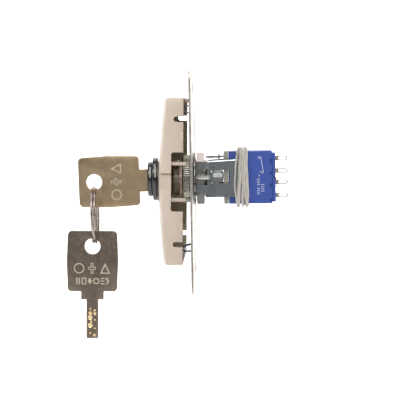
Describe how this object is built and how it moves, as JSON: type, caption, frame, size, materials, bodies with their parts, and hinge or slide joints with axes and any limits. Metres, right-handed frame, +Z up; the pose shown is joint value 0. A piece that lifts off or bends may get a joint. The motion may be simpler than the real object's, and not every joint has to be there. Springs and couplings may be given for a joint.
{
  "type": "selector key switch",
  "caption": "Flush-mount selector key switch: crowned square cover on a support plate, cylinder lock with a key, spare key on a split ring, clamp bracket and a snap-action switch block",
  "frame": {"origin": "Centre of the support plate's back face, on the lock's axis, where the plate meets the wall.", "axes": "+Z up, +Y into the wall along the lock's axis, so the key side faces -Y, and +X to the right when seen from the key side."},
  "size_m": [0.071, 0.0748, 0.089],
  "materials": {
    "zinc": "zinc-plated, bright",
    "spring_steel": "blued spring steel",
    "cream": "fine satin moulding",
    "chrome": "polished dark chrome",
    "steel": "bright turned steel",
    "nut": "knurled, nickel-plated",
    "brass": "machined",
    "plug": "nickel-plated brass",
    "key": "worn nickel over brass",
    "spare_key": "worn nickel over brass, darker",
    "bracket": "zinc-plated sheet steel",
    "grey": "moulded",
    "blue": "moulded",
    "nylon": "moulded nylon",
    "tin": "tin-plated",
    "rubber": "natural rubber, matt",
    "red": "paint dot",
    "orange": "paint dot"
  },
  "bodies": {
    "frame": {"support_plate": "zinc", "upper_cover_clip": "spring_steel", "lower_cover_clip": "spring_steel", "front_cover": "cream", "lock_barrel": "chrome", "bezel_ring": "chrome", "spring_washer": "steel", "knurled_nut": "nut", "driver_pin_1": "brass", "driver_pin_2": "brass", "driver_pin_3": "brass", "lock_washer": "steel", "hex_nut": "steel", "clamp_bracket": "bracket", "clamp_screw_right": "steel", "clamp_screw_left": "steel", "locating_pin": "steel", "switch_front_plate": "grey", "switch_housing": "blue", "terminal_block": "blue", "terminal_1": "tin", "terminal_2": "tin", "terminal_3": "tin", "terminal_4": "tin", "mark_orange": "orange", "mark_red": "red", "return_spring_right": "spring_steel", "return_spring_left": "spring_steel", "rubber_band": "rubber"},
    "plug": {"lock_plug": "plug", "circlip": "spring_steel", "face_cam": "nylon", "cam_screw": "steel", "key_pin_1": "brass", "key_pin_2": "brass", "key_pin_3": "brass"},
    "key": {"key_in_lock": "key"},
    "ring": {"split_ring": "steel"},
    "spare": {"spare_key": "spare_key"},
    "plunger": {"plunger": "nylon", "contact_bridge_upper": "brass", "contact_bridge_lower": "brass"}
  },
  "joints": [
    {"name": "key_turn", "type": "hinge", "parent": "frame", "child": "plug", "pos_m": [0, 0, 0], "axis": [0, 1, 0], "range_deg": [0, 90]},
    {"name": "key_withdraw", "type": "slide", "parent": "plug", "child": "key", "axis": [0, -1, 0], "range_m": [0, 0.0165]},
    {"name": "ring_hang", "type": "hinge", "parent": "key", "child": "ring", "pos_m": [0.0006, -0.0336, -0.00633], "axis": [0, 1, 0], "range_deg": [-90, 0]},
    {"name": "spare_key_swing", "type": "hinge", "parent": "ring", "child": "spare", "pos_m": [0, -0.0336, -0.02113], "axis": [1, 0, 0], "range_deg": [-40, 40]},
    {"name": "plunger_slide", "type": "slide", "parent": "frame", "child": "plunger", "axis": [0, 1, 0], "range_m": [0, 0.0015], "deforming": ["return_spring_right", "return_spring_left"]}
  ],
  "couplings": [
    {"joint": "ring_hang", "follows": "key_turn", "ratio": -1},
    {"joint": "plunger_slide", "follows": "key_turn", "m_per_rad": 0.00095492}
  ]
}
